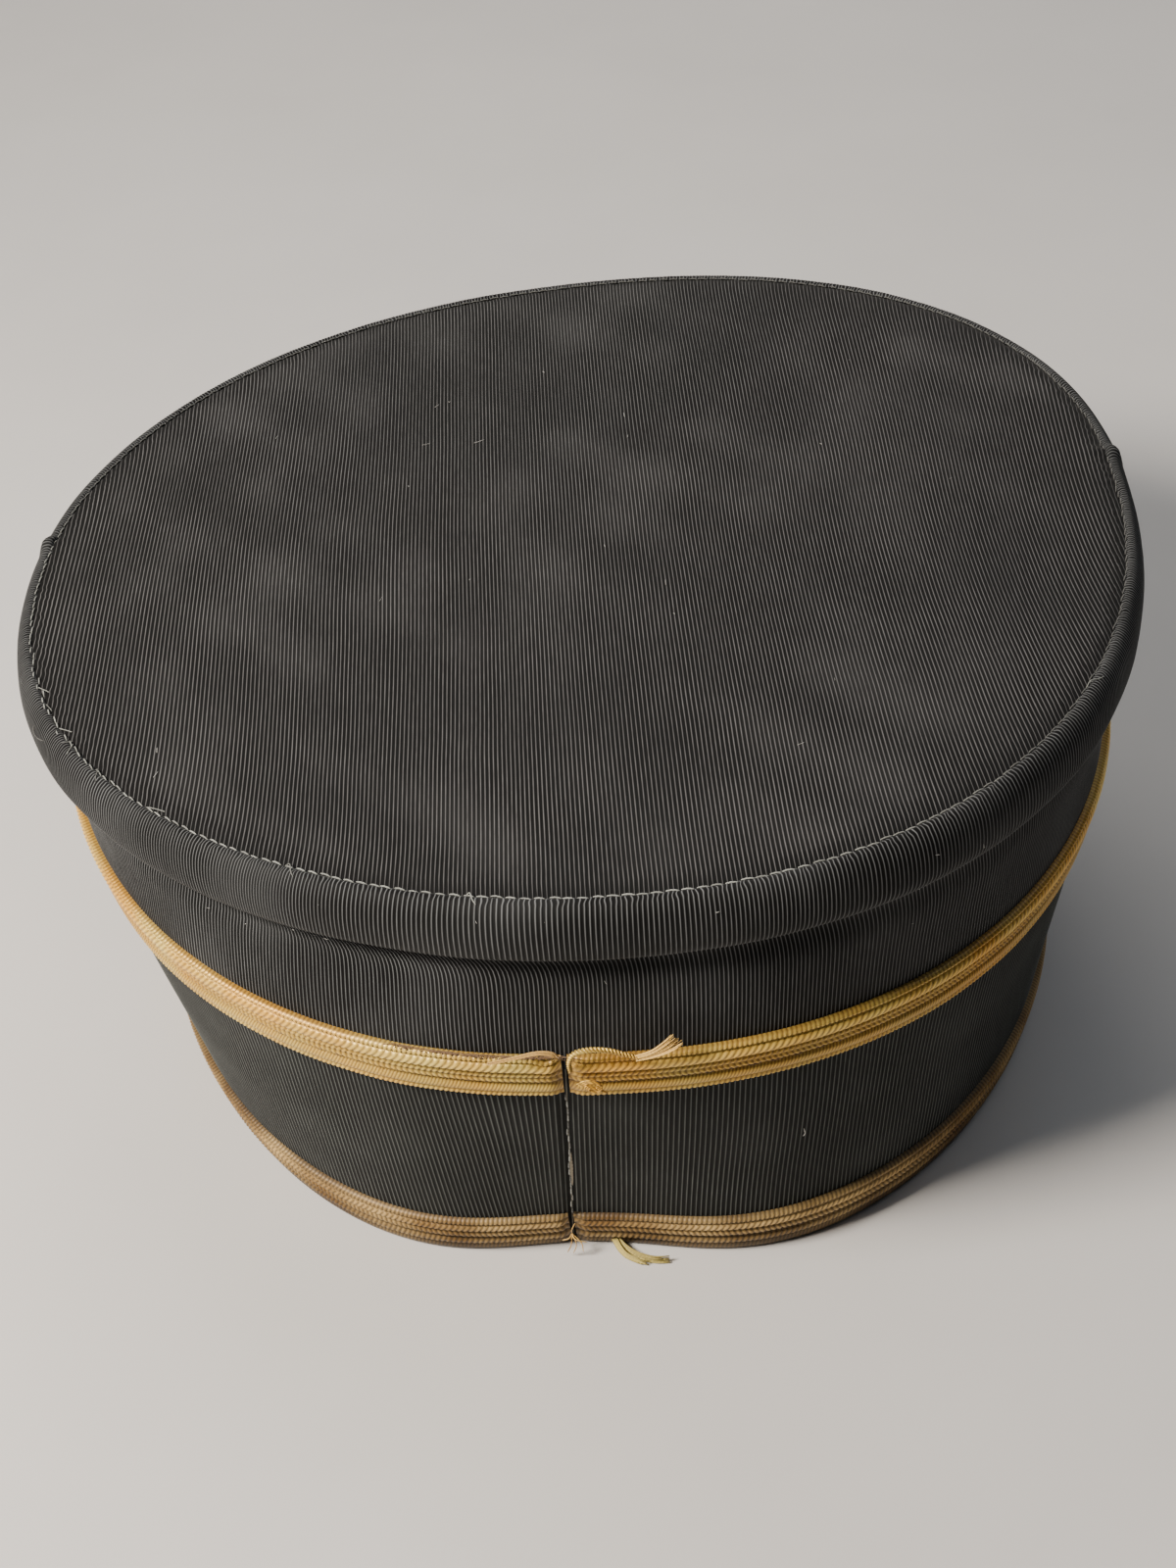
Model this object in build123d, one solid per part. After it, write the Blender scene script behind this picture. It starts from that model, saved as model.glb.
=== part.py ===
from build123d import *
import math
import os
from dataclasses import astuple, dataclass

os.makedirs("parts", exist_ok=True)

# A flared cap of ribbed cloth with two gold braids, standing on its head opening.
# +Z is up, +Y is the wearer's front, the back seam is at -Y, and the base edge is at z = 0.
# Millimetres. The origin is under the middle of the crown's rim.

# ---- driving dimensions -------------------------------------------------------------------

CLOTH = 0.7
BAND_BOARD = 1.6
CROWN_BOARD = 1.3
TOP_BOARD = 1.6
LINING = 0.4
LEATHER = 1.0
LAYER_GAP = 0.05
CROWN_SLACK = 0.9

BAND_BOTTOM = 0.9
BAND_TOP = 60.0
BAND_CLOTH_TOP = 57.0
CROWN_BOARD_BOTTOM = 61.5
TOP_BOARD_INSET = 1.6
SWEATBAND_BOTTOM = 3.6
SWEATBAND_TOP = 40.0
LINING_BOTTOM = 30.0
LINING_TOP_INSET = 7.0
TAPE_WIDTH = 12.0
TAPE_THICKNESS = 0.5
TAPE_BOTTOM = 6.5

BRAID_HEIGHT = 9.4
BRAID_THICKNESS = 1.6
BRAID_GROOVE = 0.9
LOWER_BRAID_BOTTOM = 0.0
UPPER_BRAID_BOTTOM = 51.9
BRAID_BUTT_GAP = 0.9

BACK_SEAM_X = -8.0
SIDE_SEAM_Y = 12.0
SIDE_SEAM_SLOPE = -0.042
SEAM_GAP = 0.15

WIRE_DIAMETER = 1.4
WIRE_DEPTH = 2.2
REED_DIAMETER = 1.6
REED_HEIGHT = 2.6

STITCH_THICKNESS = 0.3
CROWN_STITCH_PITCH = 2.1
CROWN_STITCH_LENGTH = 1.5
SEAM_STITCH_PITCH = 2.6
SEAM_STITCH_LENGTH = 1.7
BRAID_STITCH_PITCH = 3.4
BRAID_STITCH_LENGTH = 1.2
SWEATBAND_STITCH_PITCH = 4.0
SWEATBAND_STITCH_LENGTH = 2.2
SWEATBAND_STITCH_HEIGHT = 5.6

TURNED_CORD = 0.9
TURNED_CORD_RISE = 2.2
FRAY_WIDTH = 3.0
TUFT_WIDTH = 3.0

OUTLINE_POINTS = 48


@dataclass
class Level:
    """One outline of the cloth's outer face: an oval, its tilt, its dent and its lobes."""

    z: float
    half_width: float
    half_length: float
    roundness: float
    shift_x: float
    shift_y: float
    tilt_x: float
    tilt_y: float
    dent: float
    three_cos: float
    three_sin: float
    four_sin: float


BASE = Level(0.0, 83.9, 98.7, 2.17, 2.3, 2.4, 0.0, 0.0, 7.2, 0.1, 0.8, 0.0)
BRAID_FOOT = Level(51.9, 92.3, 101.9, 2.15, 0.7, 0.3, -0.011, 0.031, 0.8, -0.1, -0.2, 0.0)
BRAID_HEAD = Level(61.3, 93.4, 102.6, 2.15, 0.7, 0.3, -0.011, 0.031, 0.5, -0.1, -0.2, 0.0)
CREASE = Level(74.9, 96.4, 101.1, 2.16, 1.3, 0.1, 0.028, -0.019, 0.0, -1.2, 0.7, 0.5)
ROLL_FOOT = Level(78.5, 99.9, 103.4, 2.13, 1.5, 0.1, 0.039, -0.031, 0.0, -1.6, 1.0, 0.6)
ROLL = Level(81.9, 100.1, 103.4, 2.12, 1.5, 0.1, 0.041, -0.034, 0.0, -1.6, 1.0, 0.6)
SHOULDER = Level(85.4, 98.9, 102.0, 2.12, 1.5, 0.1, 0.042, -0.035, 0.0, -1.6, 1.0, 0.6)
CROWN_SEAM = Level(86.2, 96.9, 99.9, 2.12, 1.5, 0.1, 0.042, -0.035, 0.0, -1.6, 1.0, 0.6)

LEVELS = [BASE, BRAID_FOOT, BRAID_HEAD, CREASE, ROLL_FOOT, ROLL, SHOULDER, CROWN_SEAM]
DENT_X = -5.8
DENT_WIDTH = 22.8


# ---- outlines -----------------------------------------------------------------------------


def level_at(z):
    """The outline at any height, between its neighbours, or straight on past the ends."""
    pairs = list(zip(LEVELS, LEVELS[1:]))
    low, high = next((pair for pair in pairs if z <= pair[1].z), pairs[-1])
    share = (z - low.z) / (high.z - low.z)
    return Level(*(a + (b - a) * share for a, b in zip(astuple(low), astuple(high))))


def edge_point(level, angle):
    """A point of the outline in the direction of angle, in radians from +X."""
    c = math.cos(angle)
    s = math.sin(angle)
    n = level.roundness
    reach = (abs(c / level.half_width) ** n + abs(s / level.half_length) ** n) ** (-1 / n)
    reach += level.three_cos * math.cos(3 * angle) + level.three_sin * math.sin(3 * angle)
    reach += level.four_sin * math.sin(4 * angle)
    x = reach * c + level.shift_x
    y = reach * s + level.shift_y
    if s < 0:
        y += level.dent * math.exp(-(((x - DENT_X) / DENT_WIDTH) ** 2))
    return Vector(x, y, level.z + level.tilt_x * x + level.tilt_y * y)


def outward(level, angle):
    """The outline's outward direction, level with the table."""
    step = 0.002
    along = edge_point(level, angle + step) - edge_point(level, angle - step)
    return Vector(along.Y, -along.X, 0).normalized()


def offset_point(level, angle, inset):
    """The outline's point moved in by inset, kept in the level's tilted plane."""
    point = edge_point(level, angle) - outward(level, angle) * inset
    return Vector(point.X, point.Y, level.z + level.tilt_x * point.X + level.tilt_y * point.Y)


def outline(level, inset=0.0):
    """The outline drawn in by inset, as one closed smooth wire."""
    angles = [2 * math.pi * i / OUTLINE_POINTS for i in range(OUTLINE_POINTS)]
    points = [offset_point(level, angle, inset) for angle in angles]
    return Wire([Edge.make_spline(points, periodic=True)])


def flat_outline(z, inset):
    """The base's outline at the height z, with no tilt."""
    level = level_at(z)
    level.tilt_x = 0.0
    level.tilt_y = 0.0
    return outline(level, inset)


def solid_between(wires):
    return Solid.make_loft(wires, ruled=True)


def raised(wire, rise):
    return wire.moved(Location((0, 0, rise)))


def shell(heights, inset, thickness):
    """A wall that follows the cloth, from the first height to the last."""
    reach = 2.0
    outer = solid_between([outline(level_at(z), inset) for z in heights])
    hollow = [outline(level_at(z), inset + thickness) for z in heights]
    past = [raised(hollow[0], -reach)] + hollow + [raised(hollow[-1], reach)]
    return outer - solid_between(past)


def disc(inset, depth, thickness):
    """A plate parallel to the crown's top, its upper face depth below the crown seam."""
    wires = []
    for drop in (depth + thickness, depth):
        level = Level(*astuple(CROWN_SEAM))
        level.z -= drop
        wires.append(outline(level, inset))
    return solid_between(wires)


def ring_tube(level, inset, diameter):
    """A round rod that follows an outline."""
    path = outline(level, inset)
    start = path @ 0
    tangent = path % 0
    section = Plane(origin=start, z_dir=tangent) * Circle(diameter / 2)
    return sweep(section, path=path)


def back_cut(x, width):
    """A block that cuts through the back wall at x."""
    return Pos(x, -100, 45) * Box(width, 60, 120)


# ---- stitches -----------------------------------------------------------------------------


def stitch(place, along, up, length):
    """One thread of a seam: a small block along the seam, standing on the cloth."""
    plane = Plane(origin=place, x_dir=along, z_dir=up)
    block = Box(length, STITCH_THICKNESS, STITCH_THICKNESS)
    return plane * Pos(0, 0, STITCH_THICKNESS / 2) * block


def stitch_round(level, inset, pitch, length, out=True):
    """Stitches all round an outline, lying on the wall, or on the top where out is False."""
    count = round(outline(level, inset).length / pitch)
    pieces = []
    for i in range(count):
        angle = 2 * math.pi * (i + 0.5) / count
        place = offset_point(level, angle, inset)
        away = outward(level, angle)
        along = Vector(-away.Y, away.X, 0)
        up = away if out else Vector(0, 0, 1)
        pieces.append(stitch(place, along, up, length))
    return Compound(children=pieces)


def stitch_up(angle_at, low, high):
    """Stitches up the wall from low to high, at the angle that angle_at gives each height."""
    count = int((high - low) / SEAM_STITCH_PITCH)
    pieces = []
    for i in range(count):
        z = low + (i + 0.5) * SEAM_STITCH_PITCH
        level = level_at(z)
        angle = angle_at(level)
        place = edge_point(level, angle)
        rise = edge_point(level_at(z + 1), angle) - place
        pieces.append(stitch(place, rise, outward(level, angle), SEAM_STITCH_LENGTH))
    return Compound(children=pieces)


def back_seam_angle(level):
    """The direction of the outline's point at the back seam's x."""
    angle = -math.pi / 2
    for _ in range(12):
        miss = edge_point(level, angle).X - BACK_SEAM_X
        angle -= miss / level.half_length
    return angle


def side_seam_angle(side):
    """The direction of the outline's point at the side seam, on the side 1 or -1."""

    def angle_at(level):
        y = SIDE_SEAM_Y + SIDE_SEAM_SLOPE * side * level.half_width
        turn = math.asin((y - level.shift_y) / level.half_width)
        return turn if side > 0 else math.pi - turn

    return angle_at


# ---- the crown ----------------------------------------------------------------------------

CROWN_BOTTOM = UPPER_BRAID_BOTTOM + BRAID_HEIGHT / 2
CROWN_HEIGHTS = [CROWN_BOTTOM] + [level.z for level in LEVELS[2:]]


def crown_top_panel():
    return disc(CLOTH + LAYER_GAP, 0.0, CLOTH)


def crown_side_cloth():
    return shell(CROWN_HEIGHTS, 0.0, CLOTH)


def crown_half(cloth, way):
    """The side cloth's front (way 1) or back (way -1) half, up to the side seams."""
    size = 300
    turn = Rot(0, 0, math.degrees(math.atan(SIDE_SEAM_SLOPE)))
    block = Pos(0, way * (size + SEAM_GAP) / 2, 60) * Box(size, size, 120)
    return cloth & Pos(0, SIDE_SEAM_Y, 0) * turn * block


def crown_edge_stitching():
    return stitch_round(CROWN_SEAM, 0.1, CROWN_STITCH_PITCH, CROWN_STITCH_LENGTH, out=False)


def crown_side_seam_stitching():
    pieces = []
    low = UPPER_BRAID_BOTTOM + BRAID_HEIGHT + SEAM_STITCH_LENGTH
    for side in (1, -1):
        seam = stitch_up(side_seam_angle(side), low, ROLL_FOOT.z)
        pieces.extend(seam.children)
    return Compound(children=pieces)


def crown_edge_wire():
    level = Level(*astuple(CROWN_SEAM))
    level.z -= WIRE_DEPTH
    return ring_tube(level, 0.0, WIRE_DIAMETER)


def crown_top_stiffener():
    return disc(TOP_BOARD_INSET, CLOTH + LAYER_GAP, TOP_BOARD)


def crown_side_stiffener():
    heights = [CROWN_BOARD_BOTTOM, CREASE.z, ROLL_FOOT.z, ROLL.z]
    return shell(heights, CLOTH + CROWN_SLACK, CROWN_BOARD)


# ---- the band -----------------------------------------------------------------------------


def band_cover():
    cover = shell([BAND_BOTTOM, BRAID_FOOT.z, BAND_CLOTH_TOP], 0.0, CLOTH)
    return cover - back_cut(BACK_SEAM_X, SEAM_GAP)


def band_stiffener():
    return shell([BAND_BOTTOM, BRAID_FOOT.z, BAND_TOP], CLOTH + LAYER_GAP, BAND_BOARD)


def back_seam_stitching():
    low = LOWER_BRAID_BOTTOM + BRAID_HEIGHT
    return stitch_up(back_seam_angle, low, UPPER_BRAID_BOTTOM - SEAM_STITCH_LENGTH)


# ---- the braids ---------------------------------------------------------------------------


def braid_face(bottom, flat):
    """The braid's outer face, as outlines whose stand-off makes three rounded rows."""
    row = BRAID_HEIGHT / 3
    rise = BRAID_THICKNESS - BRAID_GROOVE
    stations = 4
    wires = []
    for i in range(3 * stations + 1):
        stand = BRAID_GROOVE + rise * abs(math.sin(math.pi * i / stations))
        z = bottom + row * i / stations
        wires.append(flat_outline(z, -stand) if flat else outline(level_at(z), -stand))
    return wires


def braid(bottom, flat):
    """A flat braid of three rows around the cloth, with a butt joint at the back seam."""
    outer = solid_between(braid_face(bottom, flat))
    backs = [bottom - 1.0, bottom + BRAID_HEIGHT + 1.0]
    draw = flat_outline if flat else lambda z, inset: outline(level_at(z), inset)
    inner = solid_between([draw(z, -LAYER_GAP) for z in backs])
    return outer - inner - back_cut(BACK_SEAM_X, BRAID_BUTT_GAP)


def braid_stitching(bottom):
    """Sewing thread in the groove under the braid's middle row."""
    level = level_at(bottom + BRAID_HEIGHT / 3)
    inset = -BRAID_GROOVE - STITCH_THICKNESS / 2
    return stitch_round(level, inset, BRAID_STITCH_PITCH, BRAID_STITCH_LENGTH)


def tuft(start, end, width, thickness):
    """A frayed end, as a flat wedge that widens from start to end."""
    along = end - start
    plane = Plane(origin=start, z_dir=along)
    root = plane * Rectangle(thickness, width * 0.4)
    tip = plane.offset(along.length) * Rectangle(thickness, width)
    return loft([root, tip])


def above_upper_braid():
    """The outline just above the upper braid's top edge."""
    return level_at(UPPER_BRAID_BOTTOM + BRAID_HEIGHT + 0.5)


def upper_braid_turned_end():
    """The braid's edge cord, raised in a low loop and laid back along the top edge."""
    level = above_upper_braid()
    start = back_seam_angle(level) + 0.01
    points = []
    for i in range(6):
        rise = TURNED_CORD_RISE * math.sin(math.pi * i / 5)
        points.append(offset_point(level, start + i * 0.022, -TURNED_CORD) + Vector(0, 0, rise))
    path = Edge.make_spline(points)
    section = Plane(origin=path @ 0, z_dir=path % 0) * Circle(TURNED_CORD / 2)
    return sweep(section, path=path)


def upper_braid_frayed_tip():
    """The braid's frayed tip, which sticks out above the top edge."""
    level = above_upper_braid()
    angle = back_seam_angle(level) + 0.145
    start = offset_point(level, angle, -1.3) + Vector(0, 0, 0.4)
    end = offset_point(level, angle + 0.055, -1.5) + Vector(0, 0, 4.2)
    return tuft(start, end, FRAY_WIDTH, 0.6)


def lower_braid_frayed_tuft():
    """A frayed tuft that lies on the table beside the lower braid."""
    level = level_at(1.1)
    start = offset_point(level, back_seam_angle(level) + 0.10, -BRAID_THICKNESS - 0.3)
    start = Vector(start.X, start.Y, level.z)
    end = start + Vector(8.0, -4.0, 0.0)
    return tuft(start, end, 1.0, TUFT_WIDTH)


# ---- the inside ---------------------------------------------------------------------------

WALL = CLOTH + LAYER_GAP + BAND_BOARD
SWEATBAND_INSET = WALL + LINING + CROWN_SLACK


def lining_side():
    heights = [LINING_BOTTOM, BRAID_FOOT.z, BRAID_HEAD.z, CREASE.z, ROLL_FOOT.z]
    return shell(heights, CLOTH + CROWN_SLACK + CROWN_BOARD + LAYER_GAP, LINING)


def lining_top():
    return disc(LINING_TOP_INSET, CLOTH + TOP_BOARD + 2 * LAYER_GAP, LINING)


def sweatband():
    heights = [SWEATBAND_BOTTOM, SWEATBAND_TOP / 3, SWEATBAND_TOP * 2 / 3, SWEATBAND_TOP]
    return shell(heights, SWEATBAND_INSET, LEATHER)


def sweatband_reed():
    return ring_tube(level_at(REED_HEIGHT), SWEATBAND_INSET + LEATHER / 2, REED_DIAMETER)


def sweatband_joint_tape():
    """Tape that joins the sweatband's two ends, on its inner face at the back."""
    inset = SWEATBAND_INSET + LEATHER + LAYER_GAP
    wall = shell([TAPE_BOTTOM, SWEATBAND_TOP - 1.0], inset, TAPE_THICKNESS)
    return wall & back_cut(BACK_SEAM_X, TAPE_WIDTH)


def sweatband_stitching():
    level = level_at(SWEATBAND_STITCH_HEIGHT)
    inset = SWEATBAND_INSET + LEATHER + STITCH_THICKNESS + LAYER_GAP
    return stitch_round(level, inset, SWEATBAND_STITCH_PITCH, SWEATBAND_STITCH_LENGTH)


# ---- writing the pieces -------------------------------------------------------------------


def write(name, piece):
    piece.label = name
    export_step(piece, f"parts/{name}.step")


side_cloth = crown_side_cloth()
write("crown_top_panel", crown_top_panel())
write("crown_side_back", crown_half(side_cloth, -1))
write("crown_side_front", crown_half(side_cloth, 1))
write("crown_edge_stitching", crown_edge_stitching())
write("crown_side_seam_stitching", crown_side_seam_stitching())
write("crown_edge_wire", crown_edge_wire())
write("crown_top_stiffener", crown_top_stiffener())
write("crown_side_stiffener", crown_side_stiffener())
write("band_cover", band_cover())
write("band_stiffener", band_stiffener())
write("back_seam_stitching", back_seam_stitching())
write("upper_braid", braid(UPPER_BRAID_BOTTOM, flat=False))
write("upper_braid_stitching", braid_stitching(UPPER_BRAID_BOTTOM))
write("upper_braid_turned_end", upper_braid_turned_end())
write("upper_braid_frayed_tip", upper_braid_frayed_tip())
write("lower_braid", braid(LOWER_BRAID_BOTTOM, flat=True))
write("lower_braid_stitching", braid_stitching(LOWER_BRAID_BOTTOM))
write("lower_braid_frayed_tuft", lower_braid_frayed_tuft())
write("sweatband", sweatband())
write("sweatband_reed", sweatband_reed())
write("sweatband_joint_tape", sweatband_joint_tape())
write("sweatband_stitching", sweatband_stitching())
write("lining_top", lining_top())
write("lining_side", lining_side())
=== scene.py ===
import math

import bpy
import numpy as np
from mathutils import Matrix, Vector


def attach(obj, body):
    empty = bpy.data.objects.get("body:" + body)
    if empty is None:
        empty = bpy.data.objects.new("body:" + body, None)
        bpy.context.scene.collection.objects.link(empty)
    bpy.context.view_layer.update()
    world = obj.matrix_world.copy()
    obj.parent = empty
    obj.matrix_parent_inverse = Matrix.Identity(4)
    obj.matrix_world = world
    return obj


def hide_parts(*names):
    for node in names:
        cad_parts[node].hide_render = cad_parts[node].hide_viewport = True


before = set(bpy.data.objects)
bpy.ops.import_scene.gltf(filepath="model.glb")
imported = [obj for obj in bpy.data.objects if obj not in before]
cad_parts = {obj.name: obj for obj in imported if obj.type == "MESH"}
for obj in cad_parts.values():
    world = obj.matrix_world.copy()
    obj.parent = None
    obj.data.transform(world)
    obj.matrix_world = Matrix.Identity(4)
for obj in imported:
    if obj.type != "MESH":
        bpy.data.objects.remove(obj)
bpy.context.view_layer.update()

# A flared cap of ribbed cloth with two gold braids, seen from its back seam.
# Shapes are worked out in millimetres and become metres where a mesh is made.
# The outlines are those of the CAD solids, with the roll, the crease and the ribs added.

MM = 0.001
TAU = 2 * math.pi
rng = np.random.default_rng(11)


# ---- outlines ----

# Each station is one outline of the cloth: height, half width, half length, roundness,
# shift in x and y, tilt in x and y, the depth of the dent at the back seam, and three slow
# lobes that make the oval uneven: cosine and sine of three turns, and sine of four.
BASE = (0.0, 83.9, 98.7, 2.17, 2.3, 2.4, 0.0, 0.0, 7.2, 0.1, 0.8, 0.0)
BRAID_FOOT = (51.9, 92.3, 101.9, 2.15, 0.7, 0.3, -0.011, 0.031, 0.8, -0.1, -0.2, 0.0)
BRAID_HEAD = (61.3, 93.4, 102.6, 2.15, 0.7, 0.3, -0.011, 0.031, 0.5, -0.1, -0.2, 0.0)

BAND = [BASE, BRAID_FOOT, BRAID_HEAD]

CROWN_SIDE = [
    (57.5, 92.9, 102.3, 2.15, 0.7, 0.3, -0.011, 0.031, 0.6, -0.1, -0.2, 0.0),
    BRAID_HEAD,
    (67.3, 93.9, 102.3, 2.15, 0.9, 0.2, 0.002, 0.012, 0.2, -0.4, 0.1, 0.2),
    (71.8, 95.0, 101.4, 2.17, 1.1, 0.1, 0.015, -0.007, 0.0, -0.9, 0.5, 0.4),
    (74.9, 96.3, 100.9, 2.16, 1.3, 0.1, 0.028, -0.019, 0.0, -1.2, 0.7, 0.5),
    (76.5, 98.3, 102.2, 2.14, 1.4, 0.1, 0.034, -0.026, 0.0, -1.4, 0.9, 0.6),
    (78.5, 99.9, 103.4, 2.13, 1.5, 0.1, 0.039, -0.031, 0.0, -1.6, 1.0, 0.6),
    (81.3, 100.2, 103.6, 2.12, 1.5, 0.1, 0.041, -0.034, 0.0, -1.6, 1.0, 0.6),
    (84.1, 99.7, 102.9, 2.12, 1.5, 0.1, 0.042, -0.035, 0.0, -1.6, 1.0, 0.6),
    (85.8, 98.6, 101.7, 2.12, 1.5, 0.1, 0.042, -0.035, 0.0, -1.6, 1.0, 0.6),
    (86.3, 97.6, 100.6, 2.12, 1.5, 0.1, 0.042, -0.035, 0.0, -1.6, 1.0, 0.6),
    (85.9, 96.9, 99.9, 2.12, 1.5, 0.1, 0.042, -0.035, 0.0, -1.6, 1.0, 0.6),
]
SEAM = np.array(CROWN_SIDE[-1], float)
SEAM_Z, SEAM_HALF_WIDTH, SEAM_HALF_LENGTH, SEAM_ROUNDNESS = SEAM[:4]
SEAM_SHIFT_X, SEAM_SHIFT_Y, SEAM_TILT_X, SEAM_TILT_Y = SEAM[4:8]
SEAM_COS3, SEAM_SIN3, SEAM_SIN4 = SEAM[9:]

SEAM_FOOT_X = -8.8
SEAM_LEAN = 0.027
DENT_X = -5.8
DENT_WIDTH = 22.8
LEFT_SEAM_Y = 16.4
RIGHT_SEAM_Y = 7.8

# Rib pitches and relief in mm.
RIB_TOP = 0.70
RIB_SIDE = 0.66
RIB_BAND = 0.78
RIB_RELIEF = 0.10
COLUMNS_PER_RIB = 4

# Radii in mm, which turn an angle into a distance round the cap and back.
CROWN_RADIUS = 98
BAND_RADIUS = 93
STITCH_RADIUS = 98.7
ROW_RADIUS = 97
TAPE_RADIUS = 86
SWEATBAND_RADIUS = 90
LINING_RADIUS = 95
GATHER_RADIUS = 60

# Half the angle left open where two edges of cloth meet at a seam.
SEAM_OPENING = 0.0006

BAND_BOTTOM = 1.0
BAND_TOP = 57.0
BRAID_HEIGHT = 9.4
BRAID_GAP = 0.9
UPPER_BRAID_BOTTOM = 51.9
LOWER_BRAID_BOTTOM = 0.05
STITCH_PITCH = 2.1


def between(share, stations):
    """Smoothly interpolated station values, for shares from 0 to the number of stations - 1."""
    rows = np.array(stations, float)
    slopes = np.gradient(rows, axis=0)
    slopes[0] = rows[1] - rows[0]
    slopes[-1] = rows[-1] - rows[-2]
    share = np.clip(np.asarray(share, float), 0, len(rows) - 1)
    low = np.minimum(share.astype(int), len(rows) - 2)
    t = (share - low)[..., None]
    a, b, da, db = rows[low], rows[low + 1], slopes[low], slopes[low + 1]
    return (
        a * (2 * t**3 - 3 * t**2 + 1)
        + b * (3 * t**2 - 2 * t**3)
        + da * (t**3 - 2 * t**2 + t)
        + db * (t**3 - t**2)
    )


def on_outline(values, angle):
    """Points of outlines in the direction of angle, as an array of x, y, z in mm."""
    z, a, b, n, shift_x, shift_y, tilt_x, tilt_y, dent, cos3, sin3, sin4 = np.moveaxis(values, -1, 0)
    c, s = np.cos(angle), np.sin(angle)
    reach = (np.abs(c / a) ** n + np.abs(s / b) ** n) ** (-1 / n)
    reach = reach + cos3 * np.cos(3 * angle) + sin3 * np.sin(3 * angle) + sin4 * np.sin(4 * angle)
    x = reach * c + shift_x
    y = reach * s + shift_y
    notch = dent * np.exp(-(((x - DENT_X) / DENT_WIDTH) ** 2))
    y = y + np.where(s < 0, notch, 0)
    return np.stack([x, y, z + tilt_x * x + tilt_y * y], -1)


def band_values(z):
    """The band's outline at a height, straight between its stations."""
    rows = np.array(BAND, float)
    share = np.interp(z, rows[:, 0], range(len(BAND)))
    low = np.minimum(share.astype(int), len(BAND) - 2)
    t = (share - low)[..., None]
    return rows[low] * (1 - t) + rows[low + 1] * t


def band_point(z, angle):
    return on_outline(band_values(z), angle)


def outwards(angle):
    """Level unit vectors that point away from the middle of the cap."""
    return np.stack([np.cos(angle), np.sin(angle), 0 * angle], -1)


def bell(distance, width):
    """1 at no distance, falling smoothly to almost nothing at twice the width."""
    return np.exp(-((distance / width) ** 2))


def unit(vectors):
    return vectors / np.linalg.norm(vectors, axis=-1, keepdims=True)


def angle_towards(values, coordinate, target, angle):
    """The direction, found from a first guess, in which an outline reaches an x or a y."""
    angle = np.full(np.shape(values)[:-1], float(angle))
    for _ in range(14):
        here = on_outline(values, angle)[..., coordinate]
        ahead = on_outline(values, angle + 0.01)[..., coordinate]
        angle = angle - (here - target) * 0.01 / (ahead - here)
    return angle


def back_seam_at(z):
    """The direction of the band's back seam at a height."""
    z = np.asarray(z, float)
    return angle_towards(band_values(z), 0, SEAM_FOOT_X + SEAM_LEAN * z, -math.pi / 2)


def normals(points, wrap=False):
    """Outward unit normals of a grid of points, rows going up and columns anticlockwise."""
    if wrap:
        wide = np.concatenate([points[:, -1:], points, points[:, :1]], 1)
        across = np.gradient(wide, axis=1)[:, 1:-1]
    else:
        across = np.gradient(points, axis=1)
    up = np.gradient(points, axis=0)
    n = np.cross(across, up)
    return n / np.maximum(np.linalg.norm(n, axis=-1, keepdims=True), 1e-9)


def ripples(x, y, wavelength, count, seed, stretch=1.0):
    """Soft random undulation from -1 to 1: a few sine waves in random directions."""
    r = np.random.default_rng(seed)
    total = np.zeros(np.broadcast(x, y).shape)
    for _ in range(count):
        turn = r.uniform(0, TAU)
        size = wavelength * r.uniform(0.7, 1.5)
        kx, ky = TAU * math.cos(turn) / size, TAU * math.sin(turn) / (size * stretch)
        total += np.sin(kx * x + ky * y + r.uniform(0, TAU))
    return total / count


def arc_length(points):
    """Distance along a line of points, starting at 0."""
    steps = np.linalg.norm(np.diff(points, axis=0), axis=1)
    return np.concatenate([[0], np.cumsum(steps)])


# ---- meshes ----


def link(mesh, name, material):
    """Puts a mesh in the scene as one piece."""
    piece = bpy.data.objects.new(name, mesh)
    bpy.context.scene.collection.objects.link(piece)
    mesh.materials.append(material)
    return piece


def mesh_from(name, points, faces, coords=None):
    """A smooth mesh in metres, with coords kept as the vector attribute "cloth"."""
    mesh = bpy.data.meshes.new(name)
    mesh.vertices.add(len(points))
    mesh.vertices.foreach_set("co", (points * MM).astype(np.float32).ravel())
    mesh.loops.add(faces.size)
    mesh.loops.foreach_set("vertex_index", faces.astype(np.int32).ravel())
    mesh.polygons.add(len(faces))
    mesh.polygons.foreach_set("loop_start", np.arange(len(faces), dtype=np.int32) * 4)
    mesh.update(calc_edges=True)
    if coords is not None:
        layer = mesh.attributes.new("cloth", "FLOAT_VECTOR", "POINT")
        layer.data.foreach_set("vector", coords.astype(np.float32).ravel())
    mesh.shade_smooth()
    return mesh


def quads(index):
    """Faces between the neighbours in a grid of vertex numbers."""
    corners = [index[:-1, :-1], index[:-1, 1:], index[1:, 1:], index[1:, :-1]]
    return np.stack(corners, -1).reshape(-1, 4)


def grid_faces(rows, columns, wrap=False, start=0):
    """Faces of a grid of points, which wrap joins round its columns."""
    index = np.arange(rows * columns).reshape(rows, columns) + start
    if wrap:
        index = np.concatenate([index, index[:, :1]], 1)
    return quads(index)


def grid_piece(name, points, coords, material, wrap=False):
    rows, columns = points.shape[:2]
    faces = grid_faces(rows, columns, wrap)
    mesh = mesh_from(name, points.reshape(-1, 3), faces, coords.reshape(-1, 3))
    return link(mesh, name, material)


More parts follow.
